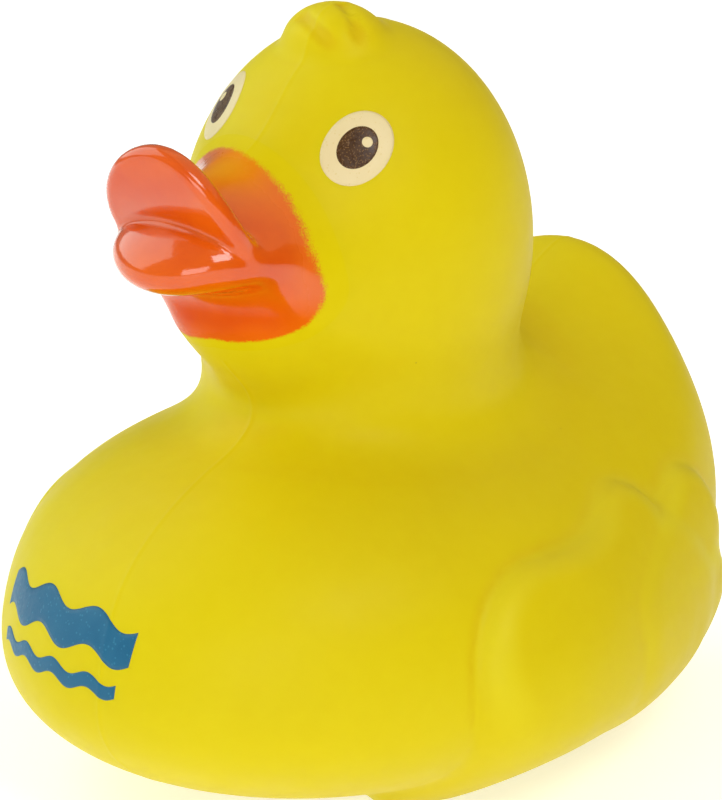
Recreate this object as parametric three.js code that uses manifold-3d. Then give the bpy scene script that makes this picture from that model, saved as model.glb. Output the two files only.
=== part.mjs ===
// A squeaky bath duck: one hollow soft-vinyl casting, its sprayed and printed decoration, and the
// four-piece squeaker pressed into the seat under its belly.
// Millimetres, +Z up. The duck looks along -Y, its own left side is +X, and it stands on z = 0.
import * as THREE from "three";
import { mergeVertices } from "three/addons/utils/BufferGeometryUtils.js";
import Module from "manifold-3d";

const wasm = await Module();
wasm.setup();

// ---------------------------------------------------------------- driving dimensions
const WALL = 2.2; // wall of the casting
const FILM = 0.3; // paint and ink, modelled thicker than life
const GAP = 0.15; // clearance round a film and under it
const SEAT_GAP = 0.2; // clearance between the squeaker's pieces
const CUT_LENGTH = 16; // plugs and bands that cut the decoration out of the film
const SIDES = { eye: 20, paint: 60, turned: 28, wave: 8 }; // facets round, and per wave
const WELD = 1e-4; // vertices nearer than this are one

// Rounded masses of the casting: centre [x, y, z], radii [x, y, z], lean about X in degrees.
const BODY = { at: [0, -1.8, 13.5], radii: [30.9, 39.8, 14.8] };
const SHOULDERS = { at: [0, -6.6, 20.8], radii: [27.6, 32.8, 15.6] };
const RUMP = { at: [0, 18.2, 21.6], radii: [24.3, 23.3, 17.5] };
const TAIL = { at: [0, 28, 24.5], radii: [15.6, 7.9, 20.5], lean: -19.7 };
const HEAD = { at: [0, -1.9, 51.7], radii: [17.1, 17.9, 21.9] };
const SOFT = { body: 8, tail: 10, wing: 1.2, neck: 9, bill: 5.5, tuft: 1.2, base: 0.5 };

// Tuft: a low mound on the crown with two furrows swept over to the duck's left.
const TUFT = { at: [-0.2, -5, 71.7], radii: [5.4, 4.8, 4.1] };
const FURROWS = [
  { from: [-2.2, -7.6, 74.6], to: [3.6, -10.1, 72.7] },
  { from: [0.6, -4.8, 75.4], to: [5.2, -7.6, 73.3] },
];
const FURROW = { depth: 0.45, width: 0.75 };

// Raised wing, drawn on a plane that leans in over the back: bars [y, height on the plane]. A
// paddle with a first lobe on top, then two more feather lobes behind it.
const WING = { lean: 30, relief: 1.9, edge: 3.5, innerX: 12, soft: 5, crease: 0.8 };
const WING_FADE = { start: 0, stop: 15, share: 0.45 };
const WING_FRONT = { extra: 0.9, back: 4, front: -12, foot: -6, top: 4 };
const WING_LOBES = [
  [
    { from: [-10.2, -0.3], to: [10.4, -1.8], radius: 9.9 },
    { from: [-2.6, -1], to: [7.7, 8.4], radius: 5.2 },
  ],
  [{ from: [6.4, -2], to: [20.2, 6.2], radius: 6.2 }],
  [{ from: [6.4, -5], to: [21.9, -2.4], radius: 5.9 }],
];

// Bill, placed from its root in the head: an upturned scoop bent round an arc, a lower lip and
// the swelling that joins both to the face.
const BILL_ROOT = [0, -1.7, 55.7];
const SCOOP = {
  arc: [-18.1, 12.2],
  radius: 12.7,
  start: 9.3,
  length: 9.8,
  half: 7.8,
  thick: 2.3,
  round: 0.42,
  tail: 2,
};
const LIP = { at: [0, -23.2, 1.8], radii: [8.6, 10, 4.1], lean: 18 };
const CHEEK = { at: [0, -15, -4.4], radii: [9.9, 9.2, 9.4] };
const BILL_ARCH = { drop: 0.055, front: -30, run: 12 };
const BILL_SOFT = { lips: 0.9, cheek: 4.5 };
const BILL_FLOOR = 32; // nothing of the bill hangs below this height

// Decoration.
const PAINT_EDGE = {
  height: 52,
  left: 10.1,
  right: 11.2,
  up: { tall: 11.7, power: 2 },
  down: { tall: 5.3, power: 2.5 },
  lean: 0.11,
  sag: 0.2,
  back: -9.2,
  front: -21.4,
};
const EYES = [
  { side: "left", at: [8.8, -13.2, 64.4], turn: -40 },
  { side: "right", at: [-8.5, -12.2, 66], turn: 40 },
];
const EYE_WHITE = [3.2, 4.1];
const IRIS = [1.9, 2.45];
const CATCHLIGHT = { radius: 0.6, across: 0.95, up: 0.5 };
const WAVES = [
  { name: "print_wave_upper", z: 20.6, half: 11.7, high: 3.9, crest: 0.7, count: 3 },
  { name: "print_wave_lower", z: 16.2, half: 10.6, high: 1.5, crest: 0.4, count: 4 },
];
const PRINT_AT = [-7.2, -38, 18];

// Squeaker: a flanged cup under the belly, standing clear of the floor.
const SQUEAKER_Y = -3;
const SQUEAKER_LIFT = 0.5;
const CUP = { radius: 5, bore: 3.7, flange: 6.6, flangeThick: 1.3, height: 10.5, hole: 1.3 };
const COLLAR = { radius: 8.2, low: 1.1, high: 6.5 };
const SEAT = { height: 7.6, channelWide: 2.6, channelDeep: 1.7, channelTop: 1.6 };
const REED = { wide: 4, thick: 0.35, tongue: 4.4, stub: 0.5, rootZ: 7 };

// Skin mesh: grid pitch of the casting, of its fine features and of the inner wall.
const PITCH = { outer: 3.8, fine: 1.6, inner: 7 };
const FINE = { x: [[-10.1, 10.1]], y: [[-35.6, -19.6]], z: [[29, 34], [49, 76]] };
const EXTENT = { x: 40, back: 52.4, front: -49.6, top: 82, bottom: -6 };

const COLOURS = {
  vinyl: { color: 0xe6d22a, roughness: 0.5, metalness: 0 },
  orange: { color: 0xe05a10, roughness: 0.18, metalness: 0 },
  cream: { color: 0xf4e6bc, roughness: 0.4, metalness: 0 },
  brown: { color: 0x4a2d18, roughness: 0.4, metalness: 0 },
  blue: { color: 0x1e6288, roughness: 0.45, metalness: 0 },
  white: { color: 0xf2f1ec, roughness: 0.35, metalness: 0 },
  clear: { color: 0xd8dcdc, roughness: 0.2, metalness: 0 },
};

// ---------------------------------------------------------------- signed fields (negative inside)
const { min, max, abs, sqrt, hypot, sin, cos, atan2 } = Math;
const radians = THREE.MathUtils.degToRad;
const { clamp, smoothstep } = THREE.MathUtils;

function blend(a, b, soft) {
  const overlap = max(soft - abs(a - b), 0) / soft;
  return min(a, b) - (overlap * overlap * soft) / 4;
}

const common = (a, b, soft) => -blend(-a, -b, soft);

function ellipsoid([px, py, pz], { at, radii, lean = 0 }) {
  const c = cos(radians(lean));
  const s = sin(radians(lean));
  const dy = py - at[1];
  const dz = pz - at[2];
  const q = [px - at[0], c * dy + s * dz, c * dz - s * dy];
  const scaled = hypot(q[0] / radii[0], q[1] / radii[1], q[2] / radii[2]);
  const slope = hypot(q[0] / radii[0] ** 2, q[1] / radii[1] ** 2, q[2] / radii[2] ** 2);
  return (scaled * (scaled - 1)) / max(slope, 1e-9);
}

// Distance from the straight run between two points, in the plane or in space.
function fromRun(point, { from, to }) {
  const run = to.map((value, k) => value - from[k]);
  const offset = point.map((value, k) => value - from[k]);
  const dot = (a, b) => a.reduce((sum, value, k) => sum + value * b[k], 0);
  const t = clamp(dot(offset, run) / dot(run, run), 0, 1);
  return hypot(...offset.map((value, k) => value - t * run[k]));
}

function torso(p) {
  const d = blend(ellipsoid(p, BODY), ellipsoid(p, RUMP), SOFT.body);
  return blend(d, ellipsoid(p, SHOULDERS), SOFT.body);
}

// Both wings follow the torso's own surface, so they lift off it by an even relief that fades
// towards the back and stands a little higher at the low front.
function wings(p, torsoDistance) {
  const side = abs(p[0]);
  const height = p[2] * cos(radians(WING.lean)) - side * sin(radians(WING.lean));
  const rise = smoothstep(height, WING_FADE.start, WING_FADE.stop);
  const forward = smoothstep(-p[1], -WING_FRONT.back, -WING_FRONT.front);
  const low = 1 - smoothstep(height, WING_FRONT.foot, WING_FRONT.top);
  const relief = WING.relief * (1 - WING_FADE.share * rise) + WING_FRONT.extra * forward * low;
  const lifted = torsoDistance - relief;
  let d = Infinity;
  for (const lobe of WING_LOBES) {
    const bars = lobe.map((bar) => fromRun([p[1], height], bar) - bar.radius);
    const outline = bars.reduce((a, b) => blend(a, b, WING.soft));
    const raised = common(lifted, outline, WING.edge);
    d = d === Infinity ? raised : blend(d, raised, WING.crease);
  }
  return common(d, WING.innerX - side, WING.edge);
}

// The upper bill: a plate bent round an arc in the side view, with a rounded tip and rim.
function scoop([x, y, z]) {
  const dy = y - SCOOP.arc[0];
  const dz = z - SCOOP.arc[1];
  const along = SCOOP.radius * atan2(-dy, -dz);
  const beyond = max(along - SCOOP.start, 0) - max(-SCOOP.tail - along, 0);
  const scaled = hypot(x / SCOOP.half, beyond / SCOOP.length);
  const slope = hypot(x / SCOOP.half ** 2, beyond / SCOOP.length ** 2);
  const rim = SCOOP.round * SCOOP.thick;
  const outline = (scaled * (scaled - 1)) / max(slope, 1e-6) + rim;
  const face = abs(hypot(dy, dz) - SCOOP.radius) - SCOOP.thick / 2 + rim;
  return hypot(max(outline, 0), max(face, 0)) + min(max(outline, face), 0) - rim;
}

function bill(p) {
  const q = [p[0] - BILL_ROOT[0], p[1] - BILL_ROOT[1], p[2] - BILL_ROOT[2]];
  const rooted = clamp((q[1] - BILL_ARCH.front) / BILL_ARCH.run, 0, 1);
  const arched = [q[0], q[1], q[2] + BILL_ARCH.drop * q[0] ** 2 * rooted];
  const lips = blend(scoop(arched), ellipsoid(arched, LIP), BILL_SOFT.lips);
  return blend(lips, ellipsoid(q, CHEEK), BILL_SOFT.cheek);
}

function tuft(p) {
  let d = ellipsoid(p, TUFT);
  for (const furrow of FURROWS) {
    const away = fromRun(p, furrow) / FURROW.width;
    d += FURROW.depth * Math.exp(-away * away);
  }
  return d;
}

function duckField(p) {
  const trunk = torso(p);
  let d = blend(trunk, ellipsoid(p, TAIL), SOFT.tail);
  d = blend(d, wings(p, trunk), SOFT.wing);
  d = blend(d, ellipsoid(p, HEAD), SOFT.neck);
  if (p[2] > BILL_FLOOR) d = blend(d, bill(p), SOFT.bill);
  d = blend(d, tuft(p), SOFT.tuft);
  return common(d, -p[2], SOFT.base);
}

// The hollow, without wings, bill and tuft, which are solid vinyl on the real casting.
function hollowField(p) {
  let d = blend(torso(p), ellipsoid(p, TAIL), SOFT.tail);
  d = blend(d, ellipsoid(p, HEAD), SOFT.neck);
  return common(d, -p[2], SOFT.base) + WALL;
}

function gradient(field, p) {
  const step = 0.02;
  return [0, 1, 2].map((k) => {
    const ahead = [...p];
    const behind = [...p];
    ahead[k] += step;
    behind[k] -= step;
    return (field(ahead) - field(behind)) / (2 * step);
  });
}

// Newton steps onto the surface where the field is zero.
function settle(field, point, steps = 3) {
  let p = point;
  for (let i = 0; i < steps; i++) {
    const g = gradient(field, p);
    const scale = field(p) / max(g[0] ** 2 + g[1] ** 2 + g[2] ** 2, 0.2);
    p = p.map((value, k) => value - scale * g[k]);
  }
  return p;
}

function normalAt(field, point) {
  return new THREE.Vector3(...gradient(field, point)).normalize();
}

// ---------------------------------------------------------------- skin mesh by surface nets
// Grid lines from start to stop, closer together inside the fine ranges.
function gridLines(start, stop, pitch, fineRanges = []) {
  const isFine = (at) => fineRanges.some(([low, high]) => at > low && at < high);
  const lines = [start];
  let at = start;
  while (at < stop) {
    at += isFine(at + PITCH.fine / 2) ? PITCH.fine : pitch;
    lines.push(at);
  }
  return lines;
}

// One vertex in each cell that the surface crosses, and one quad across each crossed grid edge.
function skin(field, [xs, ys, zs]) {
  const counts = [xs.length, ys.length, zs.length];
  const strides = [1, counts[0], counts[0] * counts[1]];
  const nodeAt = (i, j, k) => i + j * strides[1] + k * strides[2];
  const values = new Float64Array(counts[0] * counts[1] * counts[2]);
  for (let k = 0; k < counts[2]; k++)
    for (let j = 0; j < counts[1]; j++)
      for (let i = 0; i < counts[0]; i++) values[nodeAt(i, j, k)] = field([xs[i], ys[j], zs[k]]);

  const corners = [0, 1, 2, 3, 4, 5, 6, 7].map((c) => [c & 1, (c >> 1) & 1, c >> 2]);
  const edges = [];
  for (let a = 0; a < 8; a++)
    for (const bit of [1, 2, 4]) if (!(a & bit)) edges.push([a, a | bit]);

  const positions = [];
  const vertexOf = new Map();
  function cellVertex(i, j, k) {
    const key = nodeAt(i, j, k);
    if (vertexOf.has(key)) return vertexOf.get(key);
    const points = corners.map(([a, b, c]) => [xs[i + a], ys[j + b], zs[k + c]]);
    const depth = corners.map(([a, b, c]) => values[nodeAt(i + a, j + b, k + c)]);
    const sum = [0, 0, 0];
    let crossings = 0;
    for (const [a, b] of edges) {
      if (depth[a] < 0 === depth[b] < 0) continue;
      const t = depth[a] / (depth[a] - depth[b]);
      sum.forEach((_, n) => (sum[n] += points[a][n] + t * (points[b][n] - points[a][n])));
      crossings++;
    }
    positions.push(...settle(field, sum.map((value) => value / crossings)));
    vertexOf.set(key, positions.length / 3 - 1);
    return vertexOf.get(key);
  }

  const index = [];
  for (let axis = 0; axis < 3; axis++) {
    const u = (axis + 1) % 3;
    const v = (axis + 2) % 3;
    for (let k = 1; k < counts[2] - 1; k++)
      for (let j = 1; j < counts[1] - 1; j++)
        for (let i = 1; i < counts[0] - 1; i++) {
          const node = nodeAt(i, j, k);
          const inside = values[node] < 0;
          if (inside === values[node + strides[axis]] < 0) continue;
          const quad = [[1, 1], [0, 1], [0, 0], [1, 0]].map(([du, dv]) => {
            const cell = [i, j, k];
            cell[u] -= du;
            cell[v] -= dv;
            return cellVertex(...cell);
          });
          if (!inside) quad.reverse();
          index.push(quad[0], quad[1], quad[2], quad[0], quad[2], quad[3]);
        }
  }
  const geometry = new THREE.BufferGeometry();
  geometry.setAttribute("position", new THREE.Float32BufferAttribute(positions, 3));
  geometry.setIndex(index);
  return geometry;
}

// The same skin moved out along the field's own normal by a distance.
function offsetSkin(geometry, field, distance) {
  const moved = geometry.clone();
  const position = moved.getAttribute("position");
  const point = new THREE.Vector3();
  for (let i = 0; i < position.count; i++) {
    point.fromBufferAttribute(position, i);
    point.addScaledVector(normalAt(field, point.toArray()), distance);
    position.setXYZ(i, point.x, point.y, point.z);
  }
  return moved;
}

// ---------------------------------------------------------------- solids
function solid(geometry) {
  const bare = geometry.clone();
  for (const name of Object.keys(bare.attributes)) if (name !== "position") bare.deleteAttribute(name);
  const merged = mergeVertices(bare, WELD);
  const triVerts = new Uint32Array(merged.index.array);
  const vertProperties = new Float32Array(merged.getAttribute("position").array);
  return new wasm.Manifold(new wasm.Mesh({ numProp: 3, vertProperties, triVerts }));
}

function geometryOf(manifold) {
  const mesh = manifold.getMesh();
  const geometry = new THREE.BufferGeometry();
  geometry.setAttribute("position", new THREE.BufferAttribute(mesh.vertProperties, 3));
  geometry.setIndex(new THREE.BufferAttribute(mesh.triVerts, 1));
  geometry.computeVertexNormals();
  return geometry;
}

function largestBody(manifold) {
  return manifold.decompose().sort((a, b) => b.volume() - a.volume())[0];
}

// A straight elliptic plug centred on a point of the skin, its axis along the skin's normal.
function plug(point, normal, [across, up], turn) {
  const geometry = new THREE.CylinderGeometry(1, 1, CUT_LENGTH, SIDES.eye);
  geometry.rotateX(Math.PI / 2);
  geometry.scale(across, up, 1);
  geometry.rotateZ(radians(turn));
  const frame = new THREE.Object3D();
  frame.up.set(0, 0, 1);
  frame.position.copy(point);
  frame.lookAt(point.clone().add(normal));
  frame.updateMatrix();
  return solid(geometry.applyMatrix4(frame.matrix));
}

// The sprayed part of the casting: a squarish oval of the face, taller above than below, its top
// leaning and its foot sagging to the duck's right, and all that lies ahead of it above its middle.
function paintMask(grow) {
  const rim = new THREE.Shape();
  for (let i = 0; i < SIDES.paint; i++) {
    const c = cos((2 * Math.PI * i) / SIDES.paint);
    const s = sin((2 * Math.PI * i) / SIDES.paint);
    const { tall, power } = s > 0 ? PAINT_EDGE.up : PAINT_EDGE.down;
    const half = c > 0 ? PAINT_EDGE.left : PAINT_EDGE.right;
    const up = (tall + grow) * Math.sign(s) * abs(s) ** (2 / power);
    const out = (half + grow) * Math.sign(c) * abs(c) ** (2 / power);
    const x = out - PAINT_EDGE.lean * max(up, 0);
    const z = PAINT_EDGE.height + up - (up < 0 ? PAINT_EDGE.sag * max(-out, 0) : 0);
    if (i === 0) rim.moveTo(x, z);
    else rim.lineTo(x, z);
  }
  const reach = PAINT_EDGE.back - EXTENT.front;
  const oval = new THREE.ExtrudeGeometry(rim, { depth: reach, bevelEnabled: false });
  oval.rotateX(Math.PI / 2);
  oval.translate(0, PAINT_EDGE.back, 0);
  const depth = PAINT_EDGE.front + grow - EXTENT.front;
  const ahead = new THREE.BoxGeometry(2 * EXTENT.x, depth, EXTENT.top - PAINT_EDGE.height);
  ahead.translate(0, PAINT_EDGE.front + grow - depth / 2, (EXTENT.top + PAINT_EDGE.height) / 2);
  return solid(oval).add(solid(ahead));
}

// A band with a wavy top and a wavy foot, to be cut into the chest along the view of its normal.
function waveOutline({ half, high, crest, count }, grow) {
  const steps = SIDES.wave * count;
  const wave = (t) => crest * sin(t * count * 2 * Math.PI);
  const top = [];
  const foot = [];
  for (let i = 0; i <= steps; i++) {
    const x = (half + grow) * ((2 * i) / steps - 1);
    top.push(new THREE.Vector2(x, high / 2 + grow + wave(i / steps)));
    foot.push(new THREE.Vector2(x, -high / 2 - grow + wave(i / steps)));
  }
  return new THREE.Shape([...foot, ...top.reverse()]);
}

function wavePlug(wave, point, normal, grow) {
  const outline = waveOutline(wave, grow);
  const geometry = new THREE.ExtrudeGeometry(outline, { depth: CUT_LENGTH, bevelEnabled: false });
  geometry.translate(0, 0, -CUT_LENGTH / 2);
  const frame = new THREE.Object3D();
  frame.up.set(0, 0, 1);
  frame.position.set(point.x, point.y, wave.z);
  frame.lookAt(frame.position.clone().add(normal));
  frame.updateMatrix();
  return solid(geometry.applyMatrix4(frame.matrix));
}

// ---------------------------------------------------------------- casting and decoration
const grid = [
  gridLines(-EXTENT.x, EXTENT.x, PITCH.outer, FINE.x),
  gridLines(EXTENT.front, EXTENT.back, PITCH.outer, FINE.y),
  gridLines(EXTENT.bottom, EXTENT.top, PITCH.outer, FINE.z),
];
const outerSkin = skin(duckField, grid);
const outer = solid(outerSkin);
const proud = solid(offsetSkin(outerSkin, duckField, FILM));
const filmFloor = solid(offsetSkin(outerSkin, duckField, -FILM));
const recessFloor = solid(offsetSkin(outerSkin, duckField, -FILM - GAP));
const filmLayer = outer.subtract(filmFloor);
const recessLayer = proud.subtract(recessFloor);

const films = [];
let recesses = null;

function addFilm(name, finish, mask, recessMask) {
  films.push({ name, finish, solid: largestBody(filmLayer.intersect(mask)) });
  if (!recessMask) return;
  const recess = recessLayer.intersect(recessMask);
  recesses = recesses ? recesses.add(recess) : recess;
}

addFilm("bill_paint", "orange", paintMask(0), paintMask(GAP));

for (const eye of EYES) {
  const centre = settle(duckField, eye.at);
  const normal = normalAt(duckField, centre);
  const point = new THREE.Vector3(...centre);
  const across = new THREE.Vector3(0, 0, 1).cross(normal).normalize();
  const up = normal.clone().cross(across);
  const grown = ([a, b], by) => [a + by, b + by];
  const plugFor = (radii, by, at = point) => plug(at, normal, grown(radii, by), eye.turn);
  // The highlight sits up and towards the back of the head on either side.
  const backward = eye.side === "left" ? 1 : -1;
  const dot = point.clone();
  dot.addScaledVector(across, backward * CATCHLIGHT.across).addScaledVector(up, CATCHLIGHT.up);
  const dotRadii = [CATCHLIGHT.radius, CATCHLIGHT.radius];
  const whiteMask = plugFor(EYE_WHITE, 0).subtract(plugFor(IRIS, GAP / 2));
  const irisMask = plugFor(IRIS, -GAP / 2).subtract(plugFor(dotRadii, GAP / 2, dot));
  addFilm(`eye_white_${eye.side}`, "cream", whiteMask, plugFor(EYE_WHITE, GAP));
  addFilm(`iris_${eye.side}`, "brown", irisMask);
  addFilm(`catchlight_${eye.side}`, "cream", plugFor(dotRadii, -GAP / 2, dot));
}

const printPoint = new THREE.Vector3(...settle(duckField, PRINT_AT));
const printNormal = normalAt(duckField, printPoint.toArray()).setZ(0).normalize();
for (const wave of WAVES) {
  const mask = wavePlug(wave, printPoint, printNormal, 0);
  addFilm(wave.name, "blue", mask, wavePlug(wave, printPoint, printNormal, GAP));
}

// ---------------------------------------------------------------- squeaker
function lathe(outline) {
  const points = outline.map(([radius, z]) => new THREE.Vector2(radius, z));
  const geometry = new THREE.LatheGeometry([...points, points[0].clone()], SIDES.turned);
  geometry.rotateX(Math.PI / 2);
  return geometry.translate(0, SQUEAKER_Y, 0);
}

// A round post standing on z = low, for adding and cutting on the squeaker's axis.
function post(radius, low, high) {
  const geometry = new THREE.CylinderGeometry(radius, radius, high - low, SIDES.turned);
  geometry.rotateX(Math.PI / 2);
  return solid(geometry.translate(0, SQUEAKER_Y, (low + high) / 2));
}

function block([wide, deep, high], [x, y, low]) {
  const geometry = new THREE.BoxGeometry(wide, deep, high);
  return solid(geometry.translate(x, SQUEAKER_Y + y, low + high / 2));
}

const floorTop = SQUEAKER_LIFT + CUP.flangeThick;
const cupTop = SQUEAKER_LIFT + CUP.height;

function squeakerCup() {
  return lathe([
    [CUP.hole, SQUEAKER_LIFT],
    [CUP.flange, SQUEAKER_LIFT],
    [CUP.flange, floorTop],
    [CUP.radius, floorTop],
    [CUP.radius, cupTop],
    [CUP.bore, cupTop],
    [CUP.bore, floorTop],
    [CUP.hole, floorTop],
  ]);
}

const inserted = CUP.bore - SEAT_GAP;
const seatLow = floorTop + SEAT_GAP;
const hingeZ = REED.rootZ + SQUEAKER_LIFT;

// Half-round block in the cup, with the air channel that the reed beats over.
function reedSeat() {
  const top = seatLow + SEAT.height;
  const flat = -REED.thick / 2 - SEAT_GAP;
  const half = block([inserted, 2 * CUP.radius, SEAT.height], [flat - inserted / 2, 0, seatLow]);
  const channel = block(
    [2 * SEAT.channelDeep, SEAT.channelWide, SEAT.height],
    [flat, 0, seatLow - SEAT.channelTop],
  );
  return post(inserted, seatLow, top).intersect(half).subtract(channel);
}

// Wedge that holds the reed's root against the seat.
function reedClip() {
  const high = seatLow + SEAT.height - hingeZ;
  const flat = REED.thick / 2 + SEAT_GAP;
  const half = block([inserted, 2 * CUP.radius, high], [flat + inserted / 2, 0, hingeZ]);
  return post(inserted, hingeZ, hingeZ + high).intersect(half);
}

function reed() {
  const high = REED.tongue + REED.stub;
  return block([REED.thick, REED.wide, high], [0, 0, hingeZ - REED.tongue]);
}

// ---------------------------------------------------------------- body shell
function bodyShell() {
  const hollowGrid = [
    gridLines(-EXTENT.x, EXTENT.x, PITCH.inner),
    gridLines(EXTENT.front, EXTENT.back, PITCH.inner),
    gridLines(EXTENT.bottom, EXTENT.top, PITCH.inner),
  ];
  const collar = post(COLLAR.radius, COLLAR.low, COLLAR.high);
  const hollow = solid(skin(hollowField, hollowGrid)).subtract(collar);
  const bore = post(CUP.radius + SEAT_GAP, EXTENT.bottom, COLLAR.high + WALL);
  const counterbore = post(CUP.flange + SEAT_GAP, EXTENT.bottom, floorTop + SEAT_GAP);
  return outer.subtract(hollow).subtract(recesses).subtract(bore).subtract(counterbore);
}

// ---------------------------------------------------------------- assembly
const duck = new THREE.Group();
duck.name = "bath_duck";

function addPiece(name, finish, geometry) {
  const mesh = new THREE.Mesh(geometry, new THREE.MeshStandardMaterial(COLOURS[finish]));
  mesh.name = name;
  duck.add(mesh);
}

addPiece("body_shell", "vinyl", geometryOf(largestBody(bodyShell())));
for (const film of films) addPiece(film.name, film.finish, geometryOf(film.solid));
addPiece("squeaker_cup", "white", squeakerCup());
addPiece("reed_seat", "white", geometryOf(reedSeat()));
addPiece("reed_clip", "white", geometryOf(reedClip()));
addPiece("reed", "clear", geometryOf(reed()));

export default duck;
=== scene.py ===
import math

import bpy
import numpy as np
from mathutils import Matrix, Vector


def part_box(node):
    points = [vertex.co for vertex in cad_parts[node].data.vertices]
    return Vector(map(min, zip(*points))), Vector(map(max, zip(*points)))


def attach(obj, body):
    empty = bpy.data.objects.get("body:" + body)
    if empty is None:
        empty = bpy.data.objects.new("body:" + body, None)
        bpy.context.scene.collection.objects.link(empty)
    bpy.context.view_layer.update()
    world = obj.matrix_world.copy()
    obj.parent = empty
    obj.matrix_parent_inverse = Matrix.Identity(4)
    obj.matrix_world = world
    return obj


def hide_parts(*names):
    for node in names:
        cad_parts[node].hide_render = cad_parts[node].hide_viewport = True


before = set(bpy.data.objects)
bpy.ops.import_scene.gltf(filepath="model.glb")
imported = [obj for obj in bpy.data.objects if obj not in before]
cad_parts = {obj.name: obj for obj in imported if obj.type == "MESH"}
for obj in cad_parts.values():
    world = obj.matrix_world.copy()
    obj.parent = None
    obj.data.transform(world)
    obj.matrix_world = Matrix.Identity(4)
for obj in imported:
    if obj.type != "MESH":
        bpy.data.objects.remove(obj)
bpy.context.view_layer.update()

MM = 0.001


# ------------------------------------------------------------------ places from the frame
def centre_mm(node):
    low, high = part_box(node)
    return np.array((low + high) / 2) / MM


CUP_CENTRE = centre_mm("squeaker_cup")
CUP_FOOT, CUP_HEAD = (corner.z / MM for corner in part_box("squeaker_cup"))

# ------------------------------------------------------------------ driving dimensions
# Rounded masses of the casting: centre, radii, and lean about X in degrees.
BODY = dict(at=(0, -1.8, 13.5), radii=(30.9, 39.8, 14.8))
SHOULDERS = dict(at=(0, -6.6, 20.8), radii=(27.6, 32.8, 15.6))
RUMP = dict(at=(0, 18.2, 21.6), radii=(24.3, 23.3, 17.5))
TAIL = dict(at=(0, 28, 24.5), radii=(15.6, 7.9, 20.5), lean=-19.7)
HEAD = dict(at=(0, -1.9, 51.7), radii=(17.1, 17.9, 21.9))
SOFT_BODY, SOFT_TAIL, SOFT_WING, SOFT_NECK = 8, 10, 0.5, 9
SOFT_BILL, SOFT_TUFT, SOFT_BASE = 5.5, 1.2, 0.5

# Raised wing, drawn on a plane that leans in by WING_LEAN degrees and meets the body along its
# own normal: (y, height on the plane). A paddle runs back into three feather lobes.
WING_LEAN = 30
WING_RELIEF, WING_EDGE = 1.9, 3.5
WING_FADE = dict(start=0, stop=15, share=0.45)
WING_FRONT = dict(extra=0.9, back=4, front=-12, foot=-6, top=4)
WING_INNER_X = 12
WING_LOBES = (
    (
        dict(start=(-10.2, -0.3), end=(10.4, -1.8), radius=9.9),
        dict(start=(-2.6, -1), end=(7.7, 8.4), radius=5.2),
    ),
    (dict(start=(6.4, -2), end=(20.2, 6.2), radius=6.2),),
    (dict(start=(6.4, -5), end=(21.9, -2.4), radius=5.9),),
)
SOFT_LOBE, LOBE_CREASE = 5, 0.8

# Tuft: a low mound on the crown with two furrows swept over to the duck's left.
TUFT = dict(at=(-0.2, -5, 71.7), radii=(5.4, 4.8, 4.1))
TUFT_FURROWS = (
    dict(start=(-2.2, -7.6, 74.6), end=(3.6, -10.1, 72.7)),
    dict(start=(0.6, -4.8, 75.4), end=(5.2, -7.6, 73.3)),
)
FURROW_DEPTH, FURROW_WIDTH = 0.45, 0.75

# Bill, from its root in the head.
BILL_ROOT = np.array((0, -1.7, 55.7))
SCOOP = dict(arc=(-18.1, 12.2), radius=12.7, start=9.3, length=9.8, half=7.8, thick=2.3, tail=2)
SCOOP_RIM = 0.42
LIP = dict(at=(0, -23.2, 1.8), radii=(8.6, 10, 4.1), lean=18)
CHEEK = dict(at=(0, -15, -4.4), radii=(9.9, 9.2, 9.4))
ARCH_DROP, ARCH_FRONT, ARCH_RUN = 0.055, -30, 12
SOFT_LIPS, SOFT_CHEEK = 0.9, 4.5

# Nothing of the bill hangs below this height.
BILL_FLOOR = 32

# Mould line on the median plane. It fades out above the foot, and on the head ahead of SEAM_FRONT.
SEAM_HEIGHT, SEAM_WIDTH, SEAM_FRONT, SEAM_BILL = 0.05, 0.25, -20.6, 44
SEAM_FOOT, SEAM_FOOT_FADE, SEAM_FRONT_FADE = 3, 3, 2

# Camera.
VIEW_AZIMUTH, VIEW_ELEVATION, VIEW_DISTANCE = 37.2, 17.1, 475
VIEW_AIM = (-1.4, 0.7, 34.1)
LENS, SENSOR = 213.9, 36
CLIP_START, CLIP_END = 0.01, 10  # metres

FAR = 1e3  # a distance with nothing near


# ------------------------------------------------------------------ signed fields, negative inside
def blend(a, b, soft):
    overlap = np.maximum(soft - np.abs(a - b), 0) / soft
    return np.minimum(a, b) - overlap * overlap * soft / 4


def common(a, b, soft):
    return -blend(-a, -b, soft)


def smoothstep(values, start, stop):
    share = np.clip((values - start) / (stop - start), 0, 1)
    return share * share * (3 - 2 * share)


def ellipsoid(p, at, radii, lean=0):
    c, s = math.cos(math.radians(lean)), math.sin(math.radians(lean))
    x, y, z = p[:, 0] - at[0], p[:, 1] - at[1], p[:, 2] - at[2]
    q = (x, c * y + s * z, c * z - s * y)
    scaled = np.sqrt(sum((v / r) ** 2 for v, r in zip(q, radii)))
    slope = np.sqrt(sum((v / r**2) ** 2 for v, r in zip(q, radii)))
    return scaled * (scaled - 1) / np.maximum(slope, 1e-9)


def plane_bar(y, v, start, end, radius):
    run = np.subtract(end, start)
    y, v = y - start[0], v - start[1]
    t = np.clip((y * run[0] + v * run[1]) / (run @ run), 0, 1)
    return np.hypot(y - t * run[0], v - t * run[1]) - radius


def torso(p):
    d = blend(ellipsoid(p, **BODY), ellipsoid(p, **RUMP), SOFT_BODY)
    return blend(d, ellipsoid(p, **SHOULDERS), SOFT_BODY)


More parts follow.
